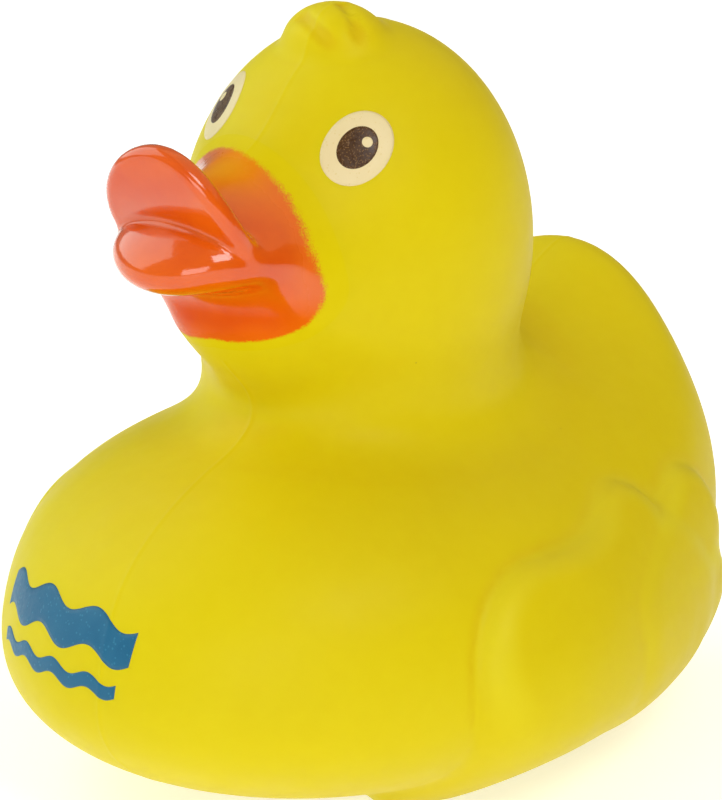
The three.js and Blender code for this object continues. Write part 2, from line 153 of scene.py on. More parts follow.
def wings(p, trunk):
    side = np.abs(p[:, 0])
    lean = math.radians(WING_LEAN)
    v = p[:, 2] * math.cos(lean) - side * math.sin(lean)
    rise = smoothstep(v, WING_FADE["start"], WING_FADE["stop"])
    forward = smoothstep(-p[:, 1], -WING_FRONT["back"], -WING_FRONT["front"])
    low = 1 - smoothstep(v, WING_FRONT["foot"], WING_FRONT["top"])
    relief = WING_RELIEF * (1 - WING_FADE["share"] * rise) + WING_FRONT["extra"] * forward * low
    d = np.full(len(p), FAR)
    for lobe in WING_LOBES:
        outline = plane_bar(p[:, 1], v, **lobe[0])
        for bar in lobe[1:]:
            outline = blend(outline, plane_bar(p[:, 1], v, **bar), SOFT_LOBE)
        d = blend(d, common(trunk - relief, outline, WING_EDGE), LOBE_CREASE)
    return common(d, WING_INNER_X - side, WING_EDGE)


def scoop(p):
    y, z = p[:, 1] - SCOOP["arc"][0], p[:, 2] - SCOOP["arc"][1]
    along = SCOOP["radius"] * np.arctan2(-y, -z)
    beyond = np.maximum(along - SCOOP["start"], 0) - np.maximum(-SCOOP["tail"] - along, 0)
    half, length = SCOOP["half"], SCOOP["length"]
    scaled = np.hypot(p[:, 0] / half, beyond / length)
    slope = np.hypot(p[:, 0] / half**2, beyond / length**2)
    rim = SCOOP_RIM * SCOOP["thick"]
    outline = scaled * (scaled - 1) / np.maximum(slope, 1e-6) + rim
    face = np.abs(np.hypot(y, z) - SCOOP["radius"]) - SCOOP["thick"] / 2 + rim
    outside = np.hypot(np.maximum(outline, 0), np.maximum(face, 0))
    return outside + np.minimum(np.maximum(outline, face), 0) - rim


def bill(p):
    q = p - BILL_ROOT
    rooted = np.clip((q[:, 1] - ARCH_FRONT) / ARCH_RUN, 0, 1)
    arched = q.copy()
    arched[:, 2] += ARCH_DROP * q[:, 0] ** 2 * rooted
    lips = blend(scoop(arched), ellipsoid(arched, **LIP), SOFT_LIPS)
    return blend(lips, ellipsoid(q, **CHEEK), SOFT_CHEEK)


def rod(p, start, end, radius):
    run = np.subtract(end, start)
    q = p - start
    t = np.clip(q @ run / (run @ run), 0, 1)
    return np.linalg.norm(q - t[:, None] * run, axis=1) - radius


def tuft(p):
    d = ellipsoid(p, **TUFT)
    for furrow in TUFT_FURROWS:
        away = rod(p, **furrow, radius=0) / FURROW_WIDTH
        d = d + FURROW_DEPTH * np.exp(-away * away)
    return d


def seam_rise(p):
    """The mould line stands up a hair along the median plane."""
    low = np.clip((p[:, 2] - SEAM_FOOT) / SEAM_FOOT_FADE, 0, 1)
    behind = np.clip((p[:, 1] - SEAM_FRONT) / SEAM_FRONT_FADE, 0, 1)
    shown = np.where(p[:, 2] > SEAM_BILL, low * behind, low)
    return SEAM_HEIGHT * np.exp(-((p[:, 0] / SEAM_WIDTH) ** 2)) * shown


def smooth_field(p):
    trunk = torso(p)
    d = blend(trunk, ellipsoid(p, **TAIL), SOFT_TAIL)
    d = blend(d, wings(p, trunk), SOFT_WING)
    d = blend(d, ellipsoid(p, **HEAD), SOFT_NECK)
    d = blend(d, np.where(p[:, 2] > BILL_FLOOR, bill(p), FAR), SOFT_BILL)
    return blend(d, tuft(p), SOFT_TUFT)


def duck_field(p):
    return common(smooth_field(p) - seam_rise(p), -p[:, 2], SOFT_BASE)


def gradient(field, p, step=0.03):
    g = np.empty_like(p)
    for k in range(3):
        shift = np.zeros(3)
        shift[k] = step
        g[:, k] = (field(p + shift) - field(p - shift)) / (2 * step)
    return g


def settle(field, p, steps=3, reach=0.5):
    """Newton steps onto the surface, each no longer than reach."""
    for _ in range(steps):
        g = gradient(field, p)
        move = -field(p)[:, None] * g / np.maximum((g * g).sum(1), 0.2)[:, None]
        length = np.linalg.norm(move, axis=1, keepdims=True)
        p = p + move * np.minimum(1, reach / np.maximum(length, 1e-9))
    return p


def normals_of(field, p):
    g = gradient(field, p)
    return g / np.linalg.norm(g, axis=1, keepdims=True)


# ------------------------------------------------------------------ skin by surface nets
def grid_lines(start, stop, fine, pitch):
    """Grid lines with (low, high, pitch) stretches that are closer together."""
    lines = [start]
    while lines[-1] < stop:
        at = lines[-1] + 1e-6
        steps = [p for low, high, p in fine if low <= at < high]
        lines.append(lines[-1] + (min(steps) if steps else pitch))
    return np.array(lines)


def field_on_grid(field, xs, ys, zs):
    values = np.empty((len(xs), len(ys), len(zs)))
    yz = np.stack(np.meshgrid(ys, zs, indexing="ij"), -1).reshape(-1, 2)
    for i, x in enumerate(xs):
        p = np.column_stack([np.full(len(yz), x), yz])
        values[i] = field(p).reshape(len(ys), len(zs))
    return values


def surface_net(field, xs, ys, zs):
    """Vertices (N, 3) and quads (M, 4) of the zero surface, one vertex per crossed cell."""
    v = field_on_grid(field, xs, ys, zs)
    inside = v < 0
    lines = (xs, ys, zs)
    shape = tuple(n - 1 for n in v.shape)
    total, hits = np.zeros((*shape, 3)), np.zeros(shape)

    def corner(a, i, j, k):
        return a[i : i + shape[0], j : j + shape[1], k : k + shape[2]]

    axes = np.meshgrid(*lines, indexing="ij")
    for axis in range(3):
        u, w = [n for n in range(3) if n != axis]
        for du in (0, 1):
            for dw in (0, 1):
                low = [0, 0, 0]
                low[u], low[w] = du, dw
                high = list(low)
                high[axis] = 1
                a, b = corner(v, *low), corner(v, *high)
                crossed = (a < 0) != (b < 0)
                t = np.where(crossed, a / np.where(crossed, a - b, 1), 0)
                for n in range(3):
                    pa, pb = corner(axes[n], *low), corner(axes[n], *high)
                    total[..., n] += np.where(crossed, pa + t * (pb - pa), 0)
                hits += crossed
    active = hits > 0
    number = np.full(shape, -1)
    number[active] = np.arange(active.sum())
    verts = total[active] / hits[active][:, None]
    quads = []
    for axis in range(3):
        u, w = (axis + 1) % 3, (axis + 2) % 3
        a = [slice(1, -1)] * 3
        b = list(a)
        b[axis] = slice(2, None)
        here, there = inside[tuple(a)], inside[tuple(b)]
        i, j, k = np.nonzero(here != there)
        cell = np.stack([i, j, k], 1) + 1
        out = here[i, j, k]
        ring = []
        for du, dw in ((1, 1), (0, 1), (0, 0), (1, 0)):
            c = cell.copy()
            c[:, u] -= du
            c[:, w] -= dw
            ring.append(number[c[:, 0], c[:, 1], c[:, 2]])
        ring = np.stack(ring, 1)
        ring[~out] = ring[~out][:, ::-1]
        quads.append(ring)
    return verts, np.concatenate(quads)


def relax(field, verts, quads, rounds=3, amount=0.5):
    """Evens the quads out along the surface."""
    a = np.concatenate([quads[:, n] for n in range(4)])
    b = np.concatenate([quads[:, (n + 1) % 4] for n in range(4)])
    count = np.bincount(a, minlength=len(verts)) + np.bincount(b, minlength=len(verts))
    for _ in range(rounds):
        mean = np.zeros_like(verts)
        for n in range(3):
            mean[:, n] = np.bincount(a, verts[b, n], len(verts))
            mean[:, n] += np.bincount(b, verts[a, n], len(verts))
        verts = verts + amount * (mean / count[:, None] - verts)
        verts = settle(field, verts, 2)
    return verts


# ------------------------------------------------------------------ mesh helpers
def new_piece(name, verts_mm, faces):
    mesh = bpy.data.meshes.new(name)
    mesh.from_pydata((np.asarray(verts_mm) * MM).tolist(), [], [list(map(int, f)) for f in faces])
    mesh.update()
    mesh.shade_smooth()
    piece = bpy.data.objects.new(name, mesh)
    bpy.context.scene.collection.objects.link(piece)
    return piece


def finish_piece(piece, material, node):
    """Fixes a piece to the duck in place of a CAD node."""
    piece.data.materials.append(material)
    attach(piece, "duck")
    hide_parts(node)


# ------------------------------------------------------------------ materials
SPECK_CORE = 0.6  # part of a speck's width that has its full colour


class Nodes:
    """Short names for building one material's node tree."""

    def __init__(self, name):
        self.material = bpy.data.materials.new(name)
        self.material.use_nodes = True
        self.tree = self.material.node_tree
        self.shader = self.tree.nodes["Principled BSDF"]
        self.coords = self.tree.nodes.new("ShaderNodeTexCoord").outputs["Object"]

    def put(self, socket, value):
        if isinstance(value, bpy.types.NodeSocket):
            self.tree.links.new(value, socket)
        else:
            socket.default_value = value

    def node(self, kind, result=0, settings=None, **inputs):
        made = self.tree.nodes.new("ShaderNode" + kind)
        for key, value in (settings or {}).items():
            setattr(made, key, value)
        for key, value in inputs.items():
            self.put(made.inputs[key.replace("_", " ")], value)
        return made.outputs[result]

    def math(self, operation, a, b):
        made = self.tree.nodes.new("ShaderNodeMath")
        made.operation = operation
        self.put(made.inputs[0], a)
        self.put(made.inputs[1], b)
        return made.outputs[0]

    def scaled(self, value, share):
        return self.math("MULTIPLY", value, share)

    def noise(self, per_mm, detail, roughness=0.5, coords=None):
        """Fractal noise with per_mm cells in a millimetre."""
        return self.node(
            "TexNoise",
            Vector=coords or self.coords,
            Scale=per_mm / MM,
            Detail=detail,
            Roughness=roughness,
        )

    def ramp(self, value, low, high, out_low=0.0, out_high=1.0):
        made = self.tree.nodes.new("ShaderNodeMapRange")
        ends = {"From Min": low, "From Max": high, "To Min": out_low, "To Max": out_high}
        for key, number in ends.items():
            made.inputs[key].default_value = number
        self.put(made.inputs["Value"], value)
        return made.outputs[0]

    def mix(self, amount, a, b):
        made = self.tree.nodes.new("ShaderNodeMix")
        made.data_type = "RGBA"
        self.put(made.inputs["Factor"], amount)
        self.put(made.inputs[6], (*a, 1) if isinstance(a, tuple) else a)
        self.put(made.inputs[7], (*b, 1) if isinstance(b, tuple) else b)
        return made.outputs[2]

    def attribute(self, name):
        made = self.tree.nodes.new("ShaderNodeAttribute")
        made.attribute_name = name
        return made.outputs["Fac"]

    def bump(self, height, depth_mm):
        made = self.tree.nodes.new("ShaderNodeBump")
        made.inputs["Distance"].default_value = depth_mm * MM
        self.put(made.inputs["Height"], height)
        return made.outputs[0]

    def specks(self, per_mm, share, size):
        """Sparse round dots: share of the cells hold one, of size in cell widths."""
        made = self.tree.nodes.new("ShaderNodeTexVoronoi")
        made.inputs["Scale"].default_value = per_mm / MM
        self.put(made.inputs["Vector"], self.coords)
        chosen = self.node("SeparateColor", Color=made.outputs["Color"])
        here = self.math("LESS_THAN", chosen, share)
        dot = self.ramp(made.outputs["Distance"], size, size * SPECK_CORE)
        return self.math("MULTIPLY", here, dot)

    def surface(self, colour, roughness, normal=None, **constants):
        self.put(self.shader.inputs["Base Color"], colour)
        self.put(self.shader.inputs["Roughness"], roughness)
        if normal is not None:
            self.put(self.shader.inputs["Normal"], normal)
        for key, value in constants.items():
            self.shader.inputs[key.replace("_", " ")].default_value = value
        return self.material


YELLOW_LIT, YELLOW_DEEP = (0.685, 0.56, 0.002), (0.655, 0.525, 0.001)
# Painted light: the pale rim colour is a painted highlight and the fold colour a painted shade
YELLOW_RIM_HIGHLIGHT, YELLOW_CREASE_SHADE = (0.74, 0.68, 0.03), (0.64, 0.44, 0.0)
YELLOW_MOTTLE, YELLOW_SPECK = (0.75, 0.64, 0.01), (0.4, 0.29, 0.02)
ORANGE_LIT, ORANGE_DEEP = (0.73, 0.105, 0.001), (0.64, 0.065, 0.001)
ORANGE_THIN, ORANGE_MIST, ORANGE_SPECK = (0.86, 0.2, 0.004), (0.76, 0.33, 0.006), (0.35, 0.03, 0.0)


def vinyl_colour(n):
    """Cast soft vinyl: slow drifts of tone, painted shade deeper in the folds, a painted highlight
    paler on the wing rims' crests, and a few trapped specks."""
    drift = n.ramp(n.noise(per_mm=0.035, detail=3), low=0.35, high=0.65)
    tone = n.mix(drift, YELLOW_DEEP, YELLOW_LIT)
    # painted shade: the vinyl is mixed towards a darker, oranger tone in the creases, where shade falls
    tone = n.mix(n.scaled(n.attribute("fold"), share=0.65), tone, YELLOW_CREASE_SHADE)
    # painted highlight: the rounded rims of the wings are mixed towards a paler tone, where light
    # catches them
    tone = n.mix(n.scaled(n.attribute("crest"), share=0.5), tone, YELLOW_RIM_HIGHLIGHT)
    mottle = n.ramp(n.noise(per_mm=0.6, detail=4), low=0.3, high=0.7, out_high=0.12)
    tone = n.mix(mottle, tone, YELLOW_MOTTLE)
    tone = n.mix(n.specks(per_mm=0.22, share=0.035, size=0.035), tone, YELLOW_SPECK)
    # orange under the sprayed coat, so that nothing yellow shows through it
    return n.mix(n.ramp(n.attribute("paint"), low=-0.3, high=-0.6), tone, ORANGE_DEEP)


def vinyl_roughness(n):
    return n.ramp(n.noise(per_mm=0.25, detail=4), low=0.3, high=0.7, out_low=0.42, out_high=0.52)


def vinyl_height(n):
    """Fine mould grain over a faint waviness."""
    grain = n.noise(per_mm=5.0, detail=3, roughness=0.6)
    wave = n.noise(per_mm=0.12, detail=2)
    return n.math("ADD", n.scaled(grain, share=0.12), wave)


def vinyl_material():
    n = Nodes("yellow_vinyl")
    return n.surface(
        vinyl_colour(n),
        vinyl_roughness(n),
        n.bump(vinyl_height(n), depth_mm=0.05),
        Subsurface_Weight=0.25,
        Subsurface_Radius=(1.0, 0.8, 0.1),
        Subsurface_Scale=0.002,
        Specular_IOR_Level=0.11,
        Sheen_Weight=0.03,
        Sheen_Tint=(1.0, 1.0, 0.7, 1.0),
    )


def bill_material():
    """Sprayed orange enamel that breaks up into droplets over the vinyl at its edge."""
    n = Nodes("orange_paint")
    edge = n.attribute("paint")
    coarse = n.math("SUBTRACT", n.noise(per_mm=1.1, detail=3, roughness=0.6), 0.5)
    fine = n.math("SUBTRACT", n.noise(per_mm=6.0, detail=2, roughness=0.7), 0.5)
    ragged = n.math("ADD", edge, n.scaled(coarse, share=0.3))
    ragged = n.math("ADD", ragged, n.scaled(fine, share=0.6))
    coat = n.ramp(ragged, low=0.1, high=-0.14)
    drift = n.ramp(n.noise(per_mm=0.12, detail=3), low=0.35, high=0.65)
    enamel = n.mix(drift, ORANGE_DEEP, ORANGE_LIT)
    thin = n.ramp(edge, low=-2.2, high=0.2)
    enamel = n.mix(n.scaled(thin, share=0.35), enamel, ORANGE_THIN)
    enamel = n.mix(n.attribute("overspray"), enamel, ORANGE_MIST)
    enamel = n.mix(n.specks(per_mm=0.5, share=0.05, size=0.03), enamel, ORANGE_SPECK)
    colour = n.mix(coat, vinyl_colour(n), enamel)
    gloss = n.ramp(n.noise(per_mm=0.5, detail=3), low=0.3, high=0.7, out_low=0.1, out_high=0.2)
    matt = n.ramp(edge, low=-1.6, high=0.0, out_high=0.2)
    gloss = n.math("ADD", gloss, matt)
    float_mix = dict(data_type="FLOAT")
    rough = n.node("Mix", 0, float_mix, Factor=coat, A=vinyl_roughness(n), B=gloss)
    # runs in the wet coat, drawn out from the bill's tip to its root
    drawn = n.node("Mapping", Vector=n.coords, Scale=(1.0, 0.25, 0.6))
    runs = n.scaled(n.noise(per_mm=1.8, detail=3, roughness=0.6, coords=drawn), share=0.55)
    height = n.math("ADD", n.scaled(vinyl_height(n), share=0.5), n.scaled(coat, share=0.4))
    height = n.math("ADD", height, runs)
    # the spray reaches the chin and the bridge of the bill dry, so they are duller
    z = n.node("SeparateXYZ", 2, Vector=n.coords)
    wet = n.math("MULTIPLY", coat, n.ramp(z, CHIN_DRY * MM, CHIN_WET * MM))
    wet = n.math("MULTIPLY", wet, n.ramp(n.attribute("overspray"), low=0.5, high=0.1))
    gleam = n.ramp(wet, low=0, high=1, out_low=0.05, out_high=0.27)
    n.put(n.shader.inputs["Specular IOR Level"], gleam)
    n.put(n.shader.inputs["Coat Weight"], n.scaled(wet, share=0.75))
    return n.surface(
        colour,
        rough,
        n.bump(height, depth_mm=0.05),
        Coat_Roughness=0.07,
        Coat_IOR=1.5,
    )


def ink_material(name, main, other, dots_per_mm, share, roughness=0.4):
    """Pad-printed ink: a screen of tiny dots in a second tone and an uneven gloss."""
    n = Nodes(name)
    dots = n.specks(dots_per_mm, share, size=0.55)
    drift = n.ramp(n.noise(per_mm=0.5, detail=3), low=0.3, high=0.7, out_high=0.5)
    tone = n.mix(n.scaled(drift, share=0.4), main, other)
    colour = n.mix(n.scaled(dots, share=0.75), tone, other)
    patches = n.noise(per_mm=2.0, detail=3)
    rough = n.ramp(patches, low=0.3, high=0.7, out_low=roughness - 0.08, out_high=roughness + 0.08)
    height = n.math("ADD", dots, n.noise(per_mm=4.0, detail=2))
    return n.surface(colour, rough, n.bump(height, depth_mm=0.008), Specular_IOR_Level=0.25)


def plastic_material(name, colour, other, roughness):
    """Small injection-moulded part: faint flow marks and a fine spark-eroded grain."""
    n = Nodes(name)
    flow = n.ramp(n.noise(per_mm=0.4, detail=4), low=0.3, high=0.7)
    patches = n.noise(per_mm=1.5, detail=3)
    rough = n.ramp(patches, low=0.3, high=0.7, out_low=roughness - 0.06, out_high=roughness + 0.08)
    return n.surface(
        n.mix(flow, colour, other),
        rough,
        n.bump(n.noise(per_mm=6.0, detail=3), depth_mm=0.01),
        Subsurface_Weight=0.1,
        Subsurface_Radius=(1.0, 1.0, 1.0),
        Subsurface_Scale=0.001,
    )


# ------------------------------------------------------------------ the casting
# Wall of the squeaker's hole, from the base up: radius, height, and how far it looks at the axis
# and down. It clears the cup's flange and tube by HOLE_GAP.
HOLE_GAP, HOLE_BEVEL = 0.2, 0.12
CUP_FLANGE, CUP_TUBE, CUP_SHELF = 6.6, 5.0, 1.3  # two radii, and the flange's thickness
HOLE_WIDE, HOLE_NARROW = CUP_FLANGE + HOLE_GAP, CUP_TUBE + HOLE_GAP
HOLE_STEP, HOLE_TOP = CUP_FOOT + CUP_SHELF + HOLE_GAP, CUP_HEAD + HOLE_GAP
HOLE_RIM = HOLE_WIDE + HOLE_BEVEL
HOLE_WALL = (
    (HOLE_RIM, 0, 0, 1),
    (HOLE_WIDE, HOLE_BEVEL, 1, 0),
    (HOLE_WIDE, HOLE_STEP - HOLE_BEVEL, 1, 0),
    (HOLE_WIDE - HOLE_BEVEL, HOLE_STEP, 0, 1),
    (HOLE_NARROW + HOLE_BEVEL, HOLE_STEP, 0, 1),
    (HOLE_NARROW, HOLE_STEP + HOLE_BEVEL, 1, 0),
    (HOLE_NARROW, HOLE_TOP - HOLE_BEVEL, 1, 0),
    (HOLE_NARROW - HOLE_BEVEL, HOLE_TOP, 0, 1),
)

# Grid the skin is meshed on, finer round the bill and at the mould line.
PITCH = 0.75
BILL_PITCH = 0.42
SEAM_PITCH = 0.15
GRID_X = dict(start=-38.3, stop=38.5, fine=[(-0.6, 0.6, SEAM_PITCH), (-11.4, 11.4, BILL_PITCH)])
GRID_Y = dict(start=-46, stop=46, fine=[(-38, -16, BILL_PITCH)])
GRID_Z = dict(start=-4, stop=80, fine=[(43, 77, BILL_PITCH)])

# Edge of the sprayed bill seen from the front: a squarish oval, taller above PAINT_HEIGHT than
# below. Its top leans and its foot sags to the duck's right. Above that height all ahead of
# PAINT_FRONT is painted, and nothing is behind PAINT_BACK.
PAINT_HEIGHT, PAINT_LEFT, PAINT_RIGHT, PAINT_UP, PAINT_DOWN = 52, 10.1, 11.2, 11.7, 5.3
PAINT_POWER_UP, PAINT_POWER_DOWN, PAINT_LEAN, PAINT_SAG = 2.0, 2.5, 0.11, 0.2
PAINT_FRONT, PAINT_BACK, PAINT_BACK_SLOPE = -21.4, -9.2, 9
# The coat is dry below the first height and wet above the second.
CHIN_DRY, CHIN_WET = 49.5, 52
# A thin mist of paint on the bridge of the bill.
OVERSPRAY = dict(at=(-0.5, -21.8, 62.8), radius=4.2, share=0.8)
# The coat's sheet stands COAT_PROUD of the skin and is rooted COAT_DEEP below. Past the paint's
# edge it sinks to COAT_SUNK below the skin over COAT_MARGIN. The skin under it dips by COAT_DIP.
COAT_PROUD, COAT_SUNK, COAT_MARGIN, COAT_DEEP, COAT_DIP = 0.04, 0.03, 1.8, 0.25, 0.2


def paint_distance(p):
    """Millimetres outside the sprayed area, negative inside it."""
    z = p[:, 2] - PAINT_HEIGHT
    z = np.where(z < 0, z + PAINT_SAG * np.maximum(-p[:, 0], 0), z)
    tall = np.where(z > 0, PAINT_UP, PAINT_DOWN)
    power = np.where(z > 0, PAINT_POWER_UP, PAINT_POWER_DOWN)
    x = p[:, 0] + PAINT_LEAN * np.maximum(z, 0)
    half = np.where(x > 0, PAINT_LEFT, PAINT_RIGHT)
    across, up = np.abs(x) / half, np.abs(z) / tall
    scaled = np.maximum((across**power + up**power) ** (1 / power), 0.05)
    slope = np.hypot(across ** (power - 1) / half, up ** (power - 1) / tall) * scaled ** (1 - power)
    oval = (scaled - 1) / np.maximum(slope, 0.02)
    ahead = np.where(z > 0, p[:, 1] - PAINT_FRONT, FAR)
    return np.minimum(oval, ahead) + np.maximum(p[:, 1] - PAINT_BACK, 0) * PAINT_BACK_SLOPE


def set_attribute(piece, name, values):
    layer = piece.data.attributes.new(name, "FLOAT", "POINT")
    layer.data.foreach_set("value", np.asarray(values, np.float32))


# How far out a fold is looked for, and how sharply folds and wing rims are told from flat skin.
FOLD_REACH, FOLD_GAIN, FOLD_START = 2.2, 4, 0.2
RIM_REACH, RIM_GAIN, RIM_SLOPE = 1.5, 4.5, 0.9


# The fold depth places the painted shade in the creases.
def fold_depth(p):
    """How far a point lies in a crease, 0 to 1: the field a little way off the surface falls short."""
    g = gradient(duck_field, p)
    slope = np.linalg.norm(g, axis=1)
    ahead = duck_field(p + FOLD_REACH * g / slope[:, None])
    return np.clip(FOLD_GAIN * (1 - ahead / (FOLD_REACH * slope)) - FOLD_START, 0, 1)


# The rim share places the painted highlight on the wings' rounded edges.
def wing_rim(p):
    """How far a point lies on the rounded edge of a wing, 0 to 1: there the wing's field is flatter."""

    def field(q):
        return wings(q, torso(q))

    slope = np.linalg.norm(gradient(field, p), axis=1)
    near = np.clip(RIM_REACH - np.abs(field(p)), 0, 1)
    return near * np.clip(RIM_GAIN * (RIM_SLOPE - slope), 0, 1)


def build_casting():
    lines = [grid_lines(**axis, pitch=PITCH) for axis in (GRID_X, GRID_Y, GRID_Z)]
    verts, quads = surface_net(duck_field, *lines)
    verts = settle(duck_field, verts)
    verts = relax(duck_field, verts, quads)
    return verts, quads, normals_of(duck_field, verts)


def ring_walls(quads):
    """Edges that only one quad has, each as (a, b) the way its quad runs."""
    seen = {}
    for quad in quads:
        for a, b in zip(quad, np.roll(quad, -1)):
            seen[(int(a), int(b))] = True
    return [edge for edge in seen if (edge[1], edge[0]) not in seen]


def squeaker_hole(verts, quads, normals):
    """Opens the flat base round the squeaker's axis and lines the hole with turned walls.

    Gives the vertices, faces and normals, and the numbers of the skin's own vertices in use."""
    from_axis = verts[:, :2] - CUP_CENTRE[:2]
    radius = np.hypot(*from_axis.T)
    inside = (radius < HOLE_RIM) & (verts[:, 2] < CUP_FOOT)
    kept = quads[~inside[quads].any(1)]
    after = dict(ring_walls(kept))
    loop = [next(iter(after))]
    while after[loop[-1]] != loop[0]:
        loop.append(after[loop[-1]])
    outward = from_axis[loop] / radius[loop][:, None]
    first, count = len(verts), len(loop)
    rings, leans = [], []
    for r, z, inward, down in HOLE_WALL:
        rings.append(np.column_stack([CUP_CENTRE[:2] + r * outward, np.full(count, z)]))
        leans.append(np.column_stack([-inward * outward, np.full(count, -down)]))
    places, directions = np.vstack([verts, *rings[1:]]), np.vstack([normals, *leans[1:]])
    places[loop], directions[loop] = rings[0], leans[0]
    rows = [loop, *np.arange(first, len(places)).reshape(-1, count).tolist()]
    faces = kept.tolist()
    for outer, inner in zip(rows, rows[1:]):
        for j in range(count):
            k = (j + 1) % count
            faces.append([outer[k], outer[j], inner[j], inner[k]])
    faces.append(rows[-1][::-1])
    used = np.zeros(len(places), bool)
    used[np.unique(kept)] = used[first:] = True
    number = np.cumsum(used) - 1
    faces = [number[face] for face in faces]
    return places[used], faces, directions[used], np.flatnonzero(used[:first])


def film(verts, normals, quads, lift):
    """A closed thin film over part of the skin: lifted above it by lift, and rooted below it."""
    used = np.unique(quads)
    number = np.full(len(verts), -1)
    number[used] = np.arange(len(used))
    top = number[quads]
    count = len(used)
    outer = verts[used] + normals[used] * lift[used][:, None]
    inner = verts[used] - normals[used] * COAT_DEEP
    walls = [(a + count, b + count, b, a) for a, b in ring_walls(top)]
    faces = [*top.tolist(), *(top[:, ::-1] + count).tolist(), *walls]
    return outer, inner, faces, used


def bill_coat(verts, quads, normals):
    distance = paint_distance(verts)
    chosen = quads[(distance[quads] < COAT_MARGIN).all(1)]
    fade = np.clip((COAT_MARGIN - distance) / COAT_MARGIN, 0, 1)
    lift = COAT_PROUD * fade - COAT_SUNK * (1 - fade)
    outer, inner, faces, used = film(verts, normals, chosen, lift)
    piece = new_piece("bill_coat", np.vstack([outer, inner]), faces)
    smooth_normals(piece, np.vstack([normals[used], -normals[used]]))
    set_attribute(piece, "paint", np.tile(distance[used], 2))
    away = np.linalg.norm(verts[used] - OVERSPRAY["at"], axis=1) / OVERSPRAY["radius"]
    set_attribute(piece, "overspray", np.tile(OVERSPRAY["share"] * np.exp(-(away**2)), 2))
    # fold places the painted shade in the creases of the yellow round the coat
    set_attribute(piece, "fold", np.tile(fold_depth(verts[used]), 2))
    # crest places the painted highlight on the wing rims
    set_attribute(piece, "crest", np.tile(wing_rim(verts[used]), 2))
    return piece


def smooth_normals(piece, normals):
    piece.data.normals_split_custom_set_from_vertices(normals.tolist())


# ------------------------------------------------------------------ eyes and print
TURNED_SIDES = 96
INK_ROOT = 0.1  # how deep an ink film is rooted in the skin
DISC_ROLL = 24  # the higher, the tighter the round at a disc's rim
BAND_LIFT, BAND_RIM = 0.05, 0.3  # a band's height over the skin, and the share of it at the rim
BAND_ROWS, BAND_STEPS = 8, 40  # quads across a band, and along each wave


def tangent_axes(point):
    """Unit vectors across and up the surface at a point of the skin."""
    out = normals_of(smooth_field, point[None])[0]
    across = np.cross((0, 0, 1), out)
    across /= np.linalg.norm(across)
    return across, np.cross(out, across)


def on_skin(points):
    return settle(smooth_field, points, steps=8, reach=2.0)


def ink_disc(name, centre, axes, radii, turn, lift, rings, sides=TURNED_SIDES):
    """A round film of ink that follows the skin, with a rolled rim."""
    across, up = axes
    angle = np.arange(sides) * 2 * math.pi / sides
    tilt = math.radians(turn)
    rows = []
    for i in range(rings + 1):
        share = i / rings
        x, y = radii[0] * share * np.cos(angle), radii[1] * share * np.sin(angle)
        u = x * math.cos(tilt) - y * math.sin(tilt)
        w = x * math.sin(tilt) + y * math.cos(tilt)
        rows.append(centre + u[:, None] * across + w[:, None] * up)
    flat = on_skin(np.concatenate(rows[1:]))
    flat = np.vstack([on_skin(centre[None]), flat])
    normal = normals_of(smooth_field, flat)
    share = np.concatenate([[0], np.repeat(np.arange(1, rings + 1) / rings, sides)])
    height = lift * np.sqrt(np.clip(1 - share**DISC_ROLL, 0, 1))
    verts = flat + normal * height[:, None]
    skirt = flat[-sides:] - normal[-sides:] * INK_ROOT
    verts = np.vstack([verts, skirt])
    faces = [(0, 1 + j, 1 + (j + 1) % sides) for j in range(sides)]
    for i in range(rings):
        for j in range(sides):
            a, b = 1 + i * sides + j, 1 + i * sides + (j + 1) % sides
            faces.append((a, a + sides, b + sides, b))
    faces.append([1 + rings * sides + j for j in reversed(range(sides))])
    return new_piece(name, verts, faces)


def ink_band(name, point, axes, half, high, crest, count):
    """A wavy band of ink that follows the skin."""
    across, up = axes
    columns, rows = BAND_STEPS * count, BAND_ROWS
    t = np.linspace(0, 1, columns + 1)
    grid = []
    for r in range(rows + 1):
        v = (r / rows - 0.5) * high
        u = half * (2 * t - 1)
        w = v + crest * np.sin(t * count * 2 * math.pi)
        grid.append(point + u[:, None] * across + w[:, None] * up)
    flat = on_skin(np.concatenate(grid))
    normal = normals_of(smooth_field, flat)
    flat = flat + normal * seam_rise(flat)[:, None]
    wide = columns + 1
    rim = np.zeros((rows + 1, wide), bool)
    rim[0] = rim[-1] = rim[:, 0] = rim[:, -1] = True
    height = np.where(rim.ravel(), BAND_RIM, 1.0) * BAND_LIFT
    top = flat + normal * height[:, None]
    root = flat - normal * INK_ROOT
    faces = []
    for r in range(rows):
        for c in range(columns):
            a = r * wide + c
            faces.append((a, a + 1, a + 1 + wide, a + wide))
    quads = np.array(faces)
    walls = [(a + len(top), b + len(top), b, a) for a, b in ring_walls(quads)]
    faces = [*quads.tolist(), *(quads[:, ::-1] + len(top)).tolist(), *walls]
    return new_piece(name, np.vstack([top, root]), faces)


# Radii across and up of the ovals, which turn by EYE_TURN degrees, and heights over the skin.
EYE_WHITE, IRIS = (3.2, 4.1), (1.9, 2.45)
CATCHLIGHT_RADIUS, CATCHLIGHT_ACROSS, CATCHLIGHT_UP = 0.6, 0.95, 0.5
EYE_TURN = -40
LIFT_WHITE, LIFT_IRIS, LIFT_CATCHLIGHT = 0.06, 0.09, 0.12


